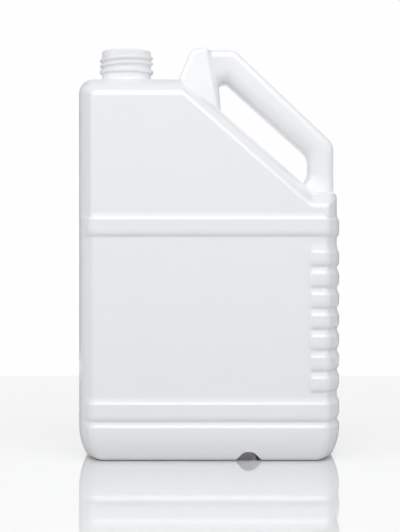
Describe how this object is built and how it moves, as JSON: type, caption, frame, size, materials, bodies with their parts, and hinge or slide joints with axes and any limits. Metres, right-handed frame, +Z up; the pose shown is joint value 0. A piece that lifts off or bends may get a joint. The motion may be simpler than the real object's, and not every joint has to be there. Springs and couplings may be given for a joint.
{
  "type": "jerrycan",
  "caption": "Free-standing blow-moulded plastic jerrycan with an open neck, a sloping top, a hollow slanted carrying handle and ribbed sides, for storing and pouring liquids.",
  "frame": {"origin": "on the floor, under the middle of the body's width and depth", "axes": "+X from the neck side to the handle side, +Y from front to back, +Z up"},
  "size_m": [0.1818, 0.13, 0.2852],
  "materials": {
    "hdpe": "glossy, as moulded"
  },
  "bodies": {
    "root": {"jerrycan": "hdpe"}
  },
  "joints": []
}
